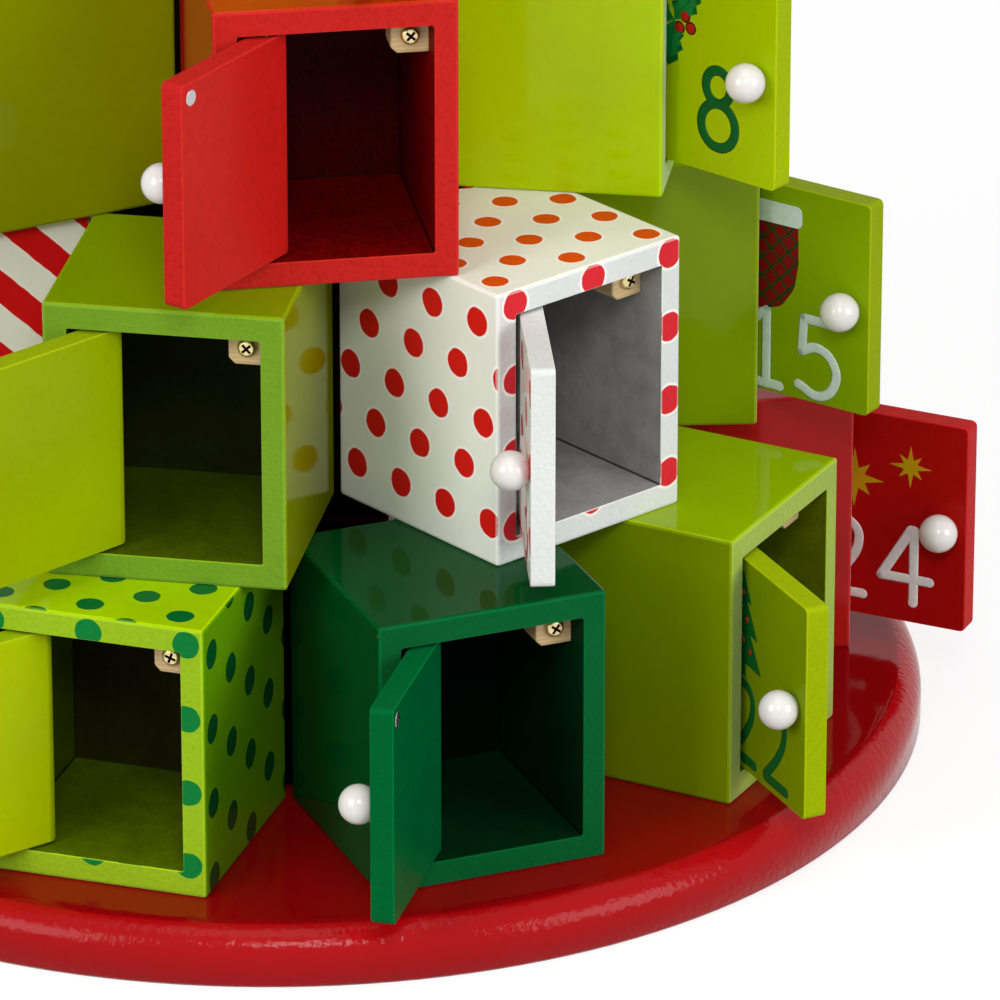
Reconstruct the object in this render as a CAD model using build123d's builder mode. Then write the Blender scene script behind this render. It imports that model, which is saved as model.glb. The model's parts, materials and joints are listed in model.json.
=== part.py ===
# Tree-shaped advent calendar: rings of small wooden door boxes stacked in tiers on a round base.
# Millimetres, +Z up, origin at the centre of the base's underside; -Y is the front.
import os
from math import atan, cos, degrees, pi, radians, sin, tan

from build123d import *

os.makedirs("parts", exist_ok=True)

# Box carcass, glued from flat panels
box_w = 60.0
box_d = 60.0
box_h = 72.0
side_t = 6.0
slab_t = 6.5  # roof and floor panels
back_t = 6.0

# Rings: the days in each tier from the base up, going round to the right, where each ring starts,
# and its centre, because the second ring is set a little off the axis of the others
tier_days = [
    [20, 18, 22, 24, 16, 19, 23, 17, 21],
    [11, 13, 15, 10, 12, 14, 9],
    [6, 8, 4, 7, 5],
    [2, 3, 1],
]
tier_turn = [-19.25, -11.7, 8.05, 31.0]
tier_centre = [(0, 0), (-3.1, 4.2), (0, 0), (0, 0)]
ring_gap = 1.5  # between the back corners of two neighbours

# Inset door, turning on pins set in from its rounded hinge edge
door_t = 6.0
door_gap = 0.8
edge_ease = 0.8
corner_round = 1.5  # of the two free corners
pivot_in = 6.5  # from the hinge edge to the pins
stop_short = 8.3  # degrees that an open door stands short of its stile
stop_short_of_day = {6: 3.0, 8: 13.5}
open_within = 105.0  # doors within this turn of the front stand open, the others are closed

pin_d = 2.0
pin_in_slab = 5.0
pin_in_door = 8.0
pin_play = 0.05  # radial, in the door
press_play = 0.01  # radial, in the panels

# Ball knob, turned with a tenon
knob_d = 10.0
knob_flat_d = 4.6
knob_from_edge = 6.1
knob_tenon_d = 3.0
knob_tenon_l = 4.0
glue_play = 0.05

# Magnetic catch: a disc magnet in the door meets a screw head on a small block
magnet_d = 4.0
magnet_l = 2.0
strike_gap = 0.2
block_w = 9.5
block_h = 9.5
block_l = 8.0
block_chamfer = 1.6
screw_head_d = 5.0
screw_head_l = 1.6
screw_shoulder = 1.28  # height of the pan head two thirds of the way out
screw_shank_d = 2.2
screw_l = 6.5
recess_l = 2.9  # cross recess for the driver
recess_w = 0.7
recess_deep = 0.9
screw_turn = 37.0  # degrees by which the recess of each day's screw is turned on from the day before

# Pegs that locate each box on what is below it
peg_d = 6.0
peg_in = 4.0  # into each of the two pieces

# Round base, round cap over the hollow core, and the star on its peg
base_t = 15.0
base_round = 8.0
base_margin = 21.5  # from the lowest box fronts to the rim
foot_chamfer = 1.0
cap_t = 10.0
cap_round = 4.0
cap_lap = 8.0  # beyond the corners of the core
star_points = 5
star_r = 34.0
star_waist_r = 14.5
star_t = 12.0
star_ease = 1.5
star_lift = 3.0
stalk_d = 8.0
stalk_in_cap = 8.0
stalk_in_star = 11.0  # above the waist between its two legs

# Values that follow from the driving dimensions
open_w = box_w - 2 * side_t
open_h = box_h - 2 * slab_t
door_w = open_w - 2 * door_gap
door_h = open_h - 2 * door_gap
door_foot = slab_t + door_gap
door_reach = door_w - pivot_in  # from the pins to the free edge
pivot_x = -open_w / 2 + door_gap + pivot_in
stop_angle = 2 * degrees(atan((pivot_in + door_gap) / (door_t / 2)))
block_front = door_t + strike_gap + screw_head_l
strike_x = open_w / 2 - block_w / 2
strike_z = box_h - slab_t - block_h / 2
core_apothem = [(box_w + ring_gap) / 2 / tan(pi / len(days)) for days in tier_days]
front_r = [apothem + box_d for apothem in core_apothem]
base_r = front_r[0] + base_margin
cap_r = core_apothem[-1] / cos(pi / len(tier_days[-1])) + cap_lap
cap_z = base_t + box_h * len(tier_days)


# How far apart two turns are, the short way round
def turn_between(a, b):
    return (b - a + 180) % 360 - 180


boxes = []
for tier, days in enumerate(tier_days):
    for slot, day in enumerate(days):
        turn = tier_turn[tier] + slot * 360 / len(days)  # from the front, seen from above, to the right
        short = stop_short_of_day.get(day, stop_short)
        stands_open = abs(turn_between(0, turn)) < open_within
        outward = Vector(sin(radians(turn)), -cos(radians(turn)), 0)
        seat = Plane(
            origin=Vector(*tier_centre[tier], base_t + tier * box_h) + outward * front_r[tier],
            x_dir=outward.rotate(Axis.Z, 90),
            z_dir=(0, 0, 1),
        )
        boxes.append(
            {
                "day": day,
                "tier": tier,
                "turn": turn,
                "seat": seat,  # front edge centre, x to the right, y inwards
                "swing": stop_angle - short if stands_open else 0.0,
                "floor_pegs": [],
                "roof_pegs": [],
            }
        )

# Each peg stands halfway from the front of a box to the back of the nearest box below it, or on the base
peg_spots = []
base_pegs = []
cap_pegs = []
for box in boxes:
    tier = box["tier"]
    below = [other for other in boxes if other["tier"] == tier - 1]
    if below:
        under = min(below, key=lambda other: abs(turn_between(box["turn"], other["turn"])))
        spot = (box["seat"].origin + under["seat"].from_local_coords(Vector(0, box_d, box_h))) / 2
        under["roof_pegs"].append(spot)
    else:
        spot = box["seat"].from_local_coords(Vector(0, box_d / 2, 0))
        base_pegs.append(spot)
    box["floor_pegs"].append(spot)
    peg_spots.append(spot)
    if tier == len(tier_days) - 1:
        peg_depth = front_r[tier] - (core_apothem[tier] + cap_r) / 2
        spot = box["seat"].from_local_coords(Vector(0, peg_depth, box_h))
        box["roof_pegs"].append(spot)
        cap_pegs.append(spot)
        peg_spots.append(spot)


# A blind round hole drilled from a flat face: up from an underside, or down from a top
def drill(spot, radius, depth, up):
    with Locations(spot):
        Cylinder(
            radius,
            depth,
            align=(Align.CENTER, Align.CENTER, Align.MIN if up else Align.MAX),
            mode=Mode.SUBTRACT,
        )


# Five panels: roof and floor run the full width, the sides stand between them, the back fits inside
def carcass(box):
    seat = box["seat"]
    with BuildPart(seat) as floor:
        with Locations((0, box_d / 2, 0)):
            Box(box_w, box_d, slab_t, align=(Align.CENTER, Align.CENTER, Align.MIN))
        for spot in box["floor_pegs"]:
            drill(seat.to_local_coords(spot), peg_d / 2 + glue_play, peg_in, up=True)
        drill((pivot_x, door_t / 2, slab_t), pin_d / 2 + press_play, pin_in_slab, up=False)
    with BuildPart(seat) as roof:
        with Locations((0, box_d / 2, box_h)):
            Box(box_w, box_d, slab_t, align=(Align.CENTER, Align.CENTER, Align.MAX))
        for spot in box["roof_pegs"]:
            drill(seat.to_local_coords(spot), peg_d / 2 + glue_play, peg_in, up=False)
        drill((pivot_x, door_t / 2, box_h - slab_t), pin_d / 2 + press_play, pin_in_slab, up=True)
    panels = [floor.part.solid(), roof.part.solid()]
    for hand in (-1, 1):
        with BuildPart(seat) as side:
            with Locations((hand * (box_w - side_t) / 2, box_d / 2, slab_t)):
                Box(side_t, box_d, open_h, align=(Align.CENTER, Align.CENTER, Align.MIN))
        panels.append(side.part.solid())
    with BuildPart(seat) as back:
        with Locations((0, box_d - back_t / 2, slab_t)):
            Box(open_w, back_t, open_h, align=(Align.CENTER, Align.CENTER, Align.MIN))
    panels.append(back.part.solid())
    return panels


# The door's own plane: on the pin axis at the foot of the box, x to the free edge, y to the inner face
def leaf_plane(box):
    seat = box["seat"]
    return Plane(
        origin=seat.from_local_coords(Vector(pivot_x, door_t / 2, 0)),
        x_dir=seat.x_dir.rotate(Axis.Z, -box["swing"]),
        z_dir=(0, 0, 1),
    )


def door_panel(leaf):
    strike_reach = strike_x - pivot_x
    knob_reach = door_reach - knob_from_edge
    with BuildPart(leaf) as panel:
        with BuildSketch(leaf.offset(door_foot)):
            with BuildLine():
                inner = Line((door_t / 2 - pivot_in, door_t / 2), (door_reach, door_t / 2))
                free = Line(inner @ 1, (door_reach, -door_t / 2))
                outer = Line(free @ 1, (door_t / 2 - pivot_in, -door_t / 2))
                ThreePointArc(outer @ 1, (-pivot_in, 0), inner @ 0)
            make_face()
            fillet(vertices().group_by(Axis.X)[-1], edge_ease)
        extrude(amount=door_h)
        with BuildSketch(Plane(origin=leaf.origin, x_dir=leaf.x_dir, z_dir=-leaf.y_dir)):
            with Locations((door_reach, door_foot)):
                Rectangle(door_w, door_h, align=(Align.MAX, Align.MIN))
            fillet(vertices().group_by(Axis.X)[-1], corner_round)
        extrude(amount=door_t / 2, both=True, mode=Mode.INTERSECT)
        drill((0, 0, door_foot), pin_d / 2 + pin_play, pin_in_door, up=True)
        drill((0, 0, door_foot + door_h), pin_d / 2 + pin_play, pin_in_door, up=False)
        with Locations(Location((knob_reach, -door_t / 2, box_h / 2), (90, 0, 0))):
            Cylinder(
                knob_tenon_d / 2 + glue_play,
                knob_tenon_l,
                align=(Align.CENTER, Align.CENTER, Align.MAX),
                mode=Mode.SUBTRACT,
            )
        with Locations(Location((strike_reach, door_t / 2, strike_z), (90, 0, 0))):
            Cylinder(
                magnet_d / 2 + glue_play,
                magnet_l,
                align=(Align.CENTER, Align.CENTER, Align.MIN),
                mode=Mode.SUBTRACT,
            )
    with BuildPart(leaf) as magnet:
        with Locations(Location((strike_reach, door_t / 2, strike_z), (90, 0, 0))):
            Cylinder(magnet_d / 2, magnet_l, align=(Align.CENTER, Align.CENTER, Align.MIN))
    return panel.part.solid(), magnet.part.solid()


# A ball with a small flat where it meets the door, and its tenon behind
def ball_knob(leaf):
    knob_reach = door_reach - knob_from_edge
    foot = leaf.from_local_coords(Vector(knob_reach, -door_t / 2, box_h / 2))
    ball_up = ((knob_d / 2) ** 2 - (knob_flat_d / 2) ** 2) ** 0.5
    profile = Plane(origin=foot, x_dir=(0, 0, 1), z_dir=leaf.x_dir)
    with BuildPart() as knob:
        with BuildSketch(profile):
            with BuildLine():
                axis_line = Line((0, -knob_tenon_l), (0, ball_up + knob_d / 2))
                ThreePointArc(axis_line @ 1, (knob_d / 2, ball_up), (knob_flat_d / 2, 0))
                Polyline(
                    (knob_flat_d / 2, 0),
                    (knob_tenon_d / 2, 0),
                    (knob_tenon_d / 2, -knob_tenon_l),
                    axis_line @ 0,
                )
            make_face()
        revolve(axis=Axis(foot, profile.y_dir))
    return knob.part.solid()


# Fixed ironwork of one box: two pivot pins, the catch block and its screw
def hinge_pins(box):
    pins = []
    pin_l = pin_in_slab + door_gap + pin_in_door
    for foot in (slab_t - pin_in_slab, box_h - slab_t + pin_in_slab - pin_l):
        with BuildPart(box["seat"]) as pin:
            with Locations((pivot_x, door_t / 2, foot)):
                Cylinder(pin_d / 2, pin_l, align=(Align.CENTER, Align.CENTER, Align.MIN))
        pins.append(pin.part.solid())
    return pins


def catch_block(box):
    seat = box["seat"]
    with BuildPart(seat) as block:
        with Locations((strike_x, block_front, strike_z)):
            Box(block_w, block_l, block_h, align=(Align.CENTER, Align.MIN, Align.CENTER))
        lower = block.edges().filter_by(Axis(seat.origin, seat.y_dir)).sort_by(Axis.Z)[:2]
        chamfer(lower.sort_by(Axis(seat.origin, seat.x_dir))[0], block_chamfer)
        with Locations(Location((strike_x, block_front, strike_z), (90, 0, 0))):
            Cylinder(
                screw_shank_d / 2 + press_play,
                screw_l,
                align=(Align.CENTER, Align.CENTER, Align.MAX),
                mode=Mode.SUBTRACT,
            )
    return block.part.solid()


def catch_screw(box):
    seat = box["seat"]
    neck = seat.from_local_coords(Vector(strike_x, block_front, strike_z))
    profile = Plane(origin=neck, x_dir=(0, 0, 1), z_dir=seat.x_dir)
    with BuildPart() as screw:
        with BuildSketch(profile):
            with BuildLine():
                axis_line = Line((0, -screw_l), (0, screw_head_l))
                ThreePointArc(
                    axis_line @ 1,
                    (screw_head_d / 3, screw_shoulder),
                    (screw_head_d / 2, 0),
                )
                Polyline(
                    (screw_head_d / 2, 0),
                    (screw_shank_d / 2, 0),
                    (screw_shank_d / 2, -screw_l),
                    axis_line @ 0,
                )
            make_face()
        revolve(axis=Axis(neck, profile.y_dir))
        crown = Plane(origin=neck - seat.y_dir * screw_head_l, x_dir=seat.x_dir, z_dir=-seat.y_dir)
        with BuildSketch(crown):
            for arm in (0, 90):
                Rectangle(recess_l, recess_w, rotation=arm + box["day"] * screw_turn)
        extrude(amount=-recess_deep, mode=Mode.SUBTRACT)
    return screw.part.solid()


# A node that holds several separate solids
def write_group(name, solids):
    group = Compound(solids, label=name)
    export_step(group, f"parts/{name}.step")


pins = []
blocks = []
screws = []
for box in boxes:
    leaf = leaf_plane(box)
    panel, magnet = door_panel(leaf)
    write_group(f"box_{box['day']:02d}", carcass(box))
    write_group(f"door_{box['day']:02d}", [panel, ball_knob(leaf), magnet])
    pins += hinge_pins(box)
    blocks.append(catch_block(box))
    screws.append(catch_screw(box))
write_group("hinge_pins", pins)
write_group("catch_blocks", blocks)
write_group("catch_screws", screws)

pegs = []
for spot in peg_spots:
    with BuildPart() as peg:
        with Locations(spot):
            Cylinder(peg_d / 2, 2 * peg_in)
    pegs.append(peg.part.solid())
write_group("tier_pegs", pegs)

# Base: a thick disc with a bold round-over on its upper rim
with BuildPart() as base:
    Cylinder(base_r, base_t, align=(Align.CENTER, Align.CENTER, Align.MIN))
    fillet(base.edges().sort_by(Axis.Z)[-1], base_round)
    chamfer(base.edges().sort_by(Axis.Z)[0], foot_chamfer)
    for spot in base_pegs:
        drill(spot, peg_d / 2 + glue_play, peg_in, up=False)
base.part.label = "base_disc"
export_step(base.part, "parts/base_disc.step")

# Cap: closes the hollow core above the top ring
with BuildPart() as cap:
    with Locations((0, 0, cap_z)):
        Cylinder(cap_r, cap_t, align=(Align.CENTER, Align.CENTER, Align.MIN))
    fillet(cap.edges().sort_by(Axis.Z)[-1], cap_round)
    for spot in cap_pegs:
        drill(spot, peg_d / 2 + glue_play, peg_in, up=True)
    drill((0, 0, cap_z + cap_t), stalk_d / 2 + glue_play, stalk_in_cap, up=False)
cap.part.label = "top_cap"
export_step(cap.part, "parts/top_cap.step")

# Star: five points, one straight up, on a round stalk let into its waist
star_foot = cap_z + cap_t + star_lift
star_z = star_foot + star_r * cos(pi / star_points)
stalk_top = star_z - star_waist_r + stalk_in_star
with BuildPart() as star:
    with BuildSketch(Plane.XZ.offset(-star_t / 2).shift_origin((0, star_t / 2, star_z))):
        with BuildLine():
            corners = []
            for tip in range(star_points):
                for radius, step in ((star_r, 2 * tip), (star_waist_r, 2 * tip + 1)):
                    heading = step * pi / star_points
                    corners.append((radius * sin(heading), radius * cos(heading)))
            Polyline(corners, close=True)
        make_face()
    extrude(amount=star_t)
    chamfer(star.faces().filter_by(Axis.Y).edges(), star_ease)
    drill((0, 0, star_foot), stalk_d / 2 + glue_play, stalk_top - star_foot, up=True)
star.part.label = "star"
export_step(star.part, "parts/star.step")

stalk_foot = cap_z + cap_t - stalk_in_cap
with BuildPart() as stalk:
    with Locations((0, 0, stalk_foot)):
        Cylinder(
            stalk_d / 2,
            stalk_top - stalk_foot,
            align=(Align.CENTER, Align.CENTER, Align.MIN),
        )
stalk.part.label = "star_stalk"
export_step(stalk.part, "parts/star_stalk.step")
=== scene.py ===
import json
import math
import bmesh
import bpy
from mathutils import Matrix, Vector


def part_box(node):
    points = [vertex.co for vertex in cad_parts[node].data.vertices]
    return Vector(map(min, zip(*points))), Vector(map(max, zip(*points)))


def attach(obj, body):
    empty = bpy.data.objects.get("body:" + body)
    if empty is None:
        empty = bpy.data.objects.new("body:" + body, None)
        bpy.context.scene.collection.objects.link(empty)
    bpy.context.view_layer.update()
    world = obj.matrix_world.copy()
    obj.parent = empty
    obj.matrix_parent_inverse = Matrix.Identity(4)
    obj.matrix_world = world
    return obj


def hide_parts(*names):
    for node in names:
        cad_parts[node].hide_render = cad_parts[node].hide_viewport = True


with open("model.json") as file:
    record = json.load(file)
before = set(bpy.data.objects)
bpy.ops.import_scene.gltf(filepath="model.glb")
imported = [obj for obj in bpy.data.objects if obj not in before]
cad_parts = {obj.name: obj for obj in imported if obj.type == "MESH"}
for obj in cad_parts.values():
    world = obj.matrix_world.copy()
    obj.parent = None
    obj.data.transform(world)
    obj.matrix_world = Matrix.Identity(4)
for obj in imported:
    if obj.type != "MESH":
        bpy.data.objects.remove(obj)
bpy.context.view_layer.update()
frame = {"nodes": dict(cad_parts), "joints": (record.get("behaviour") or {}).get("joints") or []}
scene = bpy.context.scene
mm = Matrix.Scale(0.001, 4)  # pieces are drawn in millimetres
hair = 0.01  # millimetres that count as nothing

# What each door carries: the paint of its box, and the picture above its number
days = {
    1: ("darkGreen", "sparkle"), 2: ("lime", "bauble"), 3: ("red", "snowflake"), 4: ("white", "heart"),
    5: ("olive", "bell"), 6: ("red", "gift"), 7: ("leafGreen", "candle"), 8: ("lime", "holly"),
    9: ("striped", "badge"), 10: ("red", "cane"), 11: ("olive", "bell"), 12: ("lime", "gift"),
    13: ("dotted", "badge"), 14: ("darkGreen", "snowflake"), 15: ("leafGreen", "stocking"),
    16: ("white", "bauble"), 17: ("red", "heart"), 18: ("darkGreen", "candle"), 19: ("darkGreen", "sparkle"),
    20: ("limeDotted", "badge"), 21: ("leafGreen", "snowflake"), 22: ("limeInShade", "tree"), 23: ("lime", "cane"),
    24: ("crimson", "sparkle"),
}


def linear(colour):
    parts = [int(colour[i:i + 2], 16) / 255 for i in (1, 3, 5)]
    return [p / 12.92 if p <= 0.04045 else ((p + 0.055) / 1.055) ** 2.4 for p in parts] + [1.0]


def shaded(colour, much):
    return [min(1.0, c * much) for c in linear(colour)[:3]] + [1.0]


def feed(node, inputs):
    # numbers and colours are set; a socket, or the first output of a node, is linked
    for key, value in inputs.items():
        source = value.outputs[0] if isinstance(value, bpy.types.Node) else value
        if isinstance(source, bpy.types.NodeSocket):
            node.id_data.links.new(source, node.inputs[key])
        else:
            node.inputs[key].default_value = source


def addNode(tree, kind, inputs=None, **settings):
    node = tree.nodes.new("ShaderNode" + kind)
    for key, value in settings.items():
        setattr(node, key, value)
    feed(node, inputs or {})
    return node


colourMix = {"data_type": "RGBA"}
darkenMix = {"data_type": "RGBA", "blend_type": "MULTIPLY"}
softStep = {"interpolation_type": "SMOOTHSTEP"}
noiseLow, noiseHigh = 0.3, 0.7  # most of a noise texture lies between these


def newMaterial(name, roughness=0.4, metallic=0.0, ior=None):
    material = bpy.data.materials.new(name)
    material.use_nodes = True
    shader = material.node_tree.nodes["Principled BSDF"]
    feed(shader, {"Roughness": roughness, "Metallic": metallic})
    if ior:
        feed(shader, {"IOR": ior})
    return material, material.node_tree, shader


def unevenCoat(tree, noise, colour, tone):
    # the paint runs from darker to paler with the noise
    return addNode(tree, "Mix",
                   {0: noise, 6: shaded(colour, tone[0]), 7: shaded(colour, tone[1])}, **colourMix).outputs[2]


# Polka dots and diagonal stripes in millimetres on a board's own flat map. Rows run along one axis of it,
# each next row is pushed on by shift, and no dot is centred below lowest.
patterns = {
    "dotsSideWhite": dict(rows="x", pitch=16.67, rowPitch=13.02, shift=-7.2, start=(22.0, 36.9), radius=3.7,
                          lowest=(-9, 3)),
    "dotsTopWhite": dict(rows="y", pitch=15.55, rowPitch=12.11, shift=7.41, start=(-12.0, -0.46), radius=3.3,
                         lowest=(-99, 3)),
    "dotsFront": dict(rows="y", pitch=19.6, rowPitch=25.4, shift=0.0, start=(26.5, 48.6), radius=3.8),
    "dotsFrontLime": dict(rows="y", pitch=19.8, rowPitch=25.2, shift=0.0, start=(25.6, 48.0), radius=3.5),
    "dotsDoor": dict(rows="y", pitch=19.4, rowPitch=12.4, shift=9.7, start=(25.2, 47.8), radius=3.8),
    "dotsSideLime": dict(rows="y", pitch=20.0, rowPitch=13.8, shift=-9.55, start=(6.1, 43.3), radius=3.75),
    "dotsTopLime": dict(rows="y", pitch=17.0, rowPitch=11.7, shift=8.4, start=(-1.6, 7.0), radius=3.4),
    "stripes": dict(period=19.6, start=91.2, half=4.65),
}
# the edge of a print wanders by up to slip millimetres, in waves per millimetre;
# a dot below lowest is pushed drop millimetres away
printEdge = dict(waves=0.30, slip=0.25, drop=30.0)


def patternDistance(tree, pattern, flat):
    # how far a point of the board lies inside (minus) or outside (plus) the printed shape, in millimetres
    parts = addNode(tree, "SeparateXYZ", {0: flat}).outputs
    wobble = addNode(tree, "TexNoise",
                     {"Vector": flat, "Scale": printEdge["waves"], "Detail": 1.0}, noise_dimensions="2D")
    slip = addNode(tree, "Math",
                   {0: wobble, 1: 2 * printEdge["slip"], 2: -printEdge["slip"]}, operation="MULTIPLY_ADD")
    if "period" in pattern:
        both = addNode(tree, "Math", {0: parts["X"], 1: parts["Y"]}, operation="ADD")
        off = addNode(tree, "Math", {0: both, 1: pattern["start"]}, operation="SUBTRACT")
        near = addNode(tree, "Math",
                       {0: off, 1: pattern["period"] / 2, 2: -pattern["period"] / 2}, operation="WRAP")
        size = addNode(tree, "Math", {0: near}, operation="ABSOLUTE").outputs[0]
        reach = pattern["half"]
    else:
        along, across = ("X", "Y") if pattern["rows"] == "x" else ("Y", "X")
        alongStart, acrossStart = pattern["start"] if along == "X" else pattern["start"][::-1]
        side = addNode(tree, "Math", {0: parts[across], 1: acrossStart}, operation="SUBTRACT")
        share = addNode(tree, "Math", {0: side, 1: pattern["rowPitch"]}, operation="DIVIDE")
        row = addNode(tree, "Math", {0: share}, operation="ROUND")
        offRow = addNode(tree, "Math", {0: row, 1: -pattern["rowPitch"], 2: side}, operation="MULTIPLY_ADD")
        pushed = addNode(tree, "Math",
                         {0: row, 1: -pattern["shift"], 2: parts[along]}, operation="MULTIPLY_ADD")
        off = addNode(tree, "Math", {0: pushed, 1: alongStart}, operation="SUBTRACT")
        near = addNode(tree, "Math",
                       {0: off, 1: pattern["pitch"] / 2, 2: -pattern["pitch"] / 2}, operation="WRAP")
        arm = addNode(tree, "CombineXYZ", {"X": near, "Y": offRow})
        size = addNode(tree, "VectorMath", {0: arm}, operation="LENGTH").outputs["Value"]
        if "lowest" in pattern:
            for axis, rest, limit in zip((along, across), (near, offRow),
                                         pattern["lowest"][::1 if along == "X" else -1]):
                centre = addNode(tree, "Math", {0: parts[axis], 1: rest}, operation="SUBTRACT")
                under = addNode(tree, "Math", {0: centre, 1: float(limit)}, operation="LESS_THAN")
                size = addNode(tree, "Math",
                               {0: under, 1: printEdge["drop"], 2: size}, operation="MULTIPLY_ADD").outputs[0]
        reach = pattern["radius"]
    bare = addNode(tree, "Math", {0: size, 1: reach}, operation="SUBTRACT")
    return addNode(tree, "Math", {0: bare, 1: slip}, operation="ADD").outputs[0]


# Sprayed acrylic on MDF. On the broad faces it lies smooth and glossy with a faint orange peel;
# on sawn edges the fibres swell and the paint dries to a fine, duller grit; on corners it is thin and chips.
boardFinish = {
    "face": dict(rough=(0.18, 0.30), grit=2.0, height=0.014, speck=0.056, shine=0.06),
    "side": dict(rough=(0.06, 0.11), grit=3.0, height=0.008, speck=0.040, shine=0.11),
    "roof": dict(rough=(0.05, 0.11), grit=3.0, height=0.010, speck=0.040, shine=0.13),
    "edge": dict(rough=(0.42, 0.58), grit=1.3, height=0.30, speck=0.072, shine=0.03, sheen=0.6),
    "rim": dict(rough=(0.42, 0.58), grit=1.3, height=0.30, speck=0.072, shine=0.03),
    "inside": dict(rough=(0.45, 0.60), grit=1.0, height=0.040, speck=0.24, shine=0.05),
}
# how the coat varies; cloud, blotch, chip, ring and soft are in millimetres
boardLook = dict(
    cloud=34.0, tone=(0.88, 1.10), printTone=(0.85, 1.12), ring=(0.85, 0.55), soft=0.12,
    speck=(0.52, 0.36), speckShade="#9A9A9A", blotch=6.0, blotchRange=(0.35, 0.65), blotchDepth=0.35,
    blotchShade="#A8A8A8", innerCornerTone="#787470", thin=0.30, chip=3.2, chipRange=(0.66, 0.70),
    bareBoard="#7A6248", sheenRough=0.35)


def paintedBoard(name, colour, finish, pattern=None, printColour=None, ring=None, chips=0.35, fibre=1.0,
                 gloss=1.0):
    f, b = boardFinish[finish], boardLook
    material, tree, shader = newMaterial(name, ior=1.5)
    feed(shader, {"Specular IOR Level": f["shine"] * gloss})
    if "sheen" in f:  # swollen fibres look dusty at a glancing angle
        feed(shader, {"Sheen Weight": f["sheen"], "Sheen Roughness": b["sheenRough"]})
    place = addNode(tree, "TexCoord").outputs["Object"]
    cloud = addNode(tree, "TexNoise", {"Vector": place, "Scale": 1000 / b["cloud"], "Detail": 2.0})
    coat = unevenCoat(tree, cloud, colour, b["tone"])
    if pattern:
        flat = addNode(tree, "UVMap", uv_map="flat").outputs["UV"]
        away = patternDistance(tree, patterns[pattern], flat)
        if ring:
            rim = addNode(tree, "MapRange",
                          {0: away, 1: b["ring"][0], 2: b["ring"][1], 3: 0.0, 4: 1.0}, **softStep).outputs[0]
            coat = addNode(tree, "Mix", {0: rim, 6: coat, 7: linear(ring)}, **colourMix).outputs[2]
        ink = addNode(tree, "MapRange",
                      {0: away, 1: b["soft"], 2: -b["soft"], 3: 0.0, 4: 1.0}, **softStep).outputs[0]
        inkCoat = unevenCoat(tree, cloud, printColour, b["printTone"])
        coat = addNode(tree, "Mix", {0: ink, 6: coat, 7: inkCoat}, **colourMix).outputs[2]
    grain = addNode(tree, "TexNoise",
                    {"Vector": place, "Scale": 1000 / f["grit"], "Detail": 3.0, "Roughness": 0.6})
    speck = addNode(tree, "MapRange",
                    {0: grain, 1: b["speck"][0], 2: b["speck"][1], 3: 0.0, 4: f["speck"] * fibre})
    coat = addNode(tree, "Mix", {0: speck, 6: coat, 7: linear(b["speckShade"])}, **darkenMix).outputs[2]
    if finish == "inside":  # rolled on: blotchy, and darker along the inner corners
        blotch = addNode(tree, "TexNoise",
                         {"Vector": place, "Scale": 1000 / b["blotch"], "Detail": 4.0, "Roughness": 0.6})
        low, high = b["blotchRange"]
        dull = addNode(tree, "MapRange", {0: blotch, 1: low, 2: high, 3: 0.0, 4: b["blotchDepth"]})
        coat = addNode(tree, "Mix", {0: dull, 6: coat, 7: linear(b["blotchShade"])}, **darkenMix).outputs[2]
        seam = addNode(tree, "Attribute", attribute_name="innerCornerLine").outputs["Fac"]
        coat = addNode(tree, "Mix", {0: seam, 6: coat, 7: linear(b["innerCornerTone"])}, **darkenMix).outputs[2]
    # thin paint on the eased corners, and a few chips down to the board
    corner = addNode(tree, "Attribute", attribute_name="edgeWorn").outputs["Fac"]
    thin = addNode(tree, "Math", {0: corner, 1: b["thin"]}, operation="MULTIPLY")
    coat = addNode(tree, "Mix",
                   {0: thin, 6: coat, 7: linear(colour)}, data_type="RGBA", blend_type="SCREEN").outputs[2]
    knock = addNode(tree, "TexNoise",
                    {"Vector": place, "Scale": 1000 / b["chip"], "Detail": 4.0, "Roughness": 0.7})
    chip = addNode(tree, "MapRange", {0: knock, 1: b["chipRange"][0], 2: b["chipRange"][1], 3: 0.0, 4: chips})
    chipped = addNode(tree, "Math", {0: chip, 1: corner}, operation="MULTIPLY")
    coat = addNode(tree, "Mix", {0: chipped, 6: coat, 7: linear(b["bareBoard"])}, **colourMix).outputs[2]
    rough = addNode(tree, "MapRange",
                    {0: cloud, 1: noiseLow, 2: noiseHigh, 3: f["rough"][0], 4: f["rough"][1]})
    peel = addNode(tree, "Bump", {"Height": grain, "Strength": 1.0, "Distance": f["height"] / 1000})
    feed(shader, {"Base Color": coat, "Roughness": rough, "Normal": peel})
    return material


# Each paint's part tones carry light and shade as well as the paint itself. Sides and roofs are lighter and
# darker copies, as the light falls on them. Inside and back are darker copies: painted shade for the hollow
# of each box and for the gaps behind it.
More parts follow.
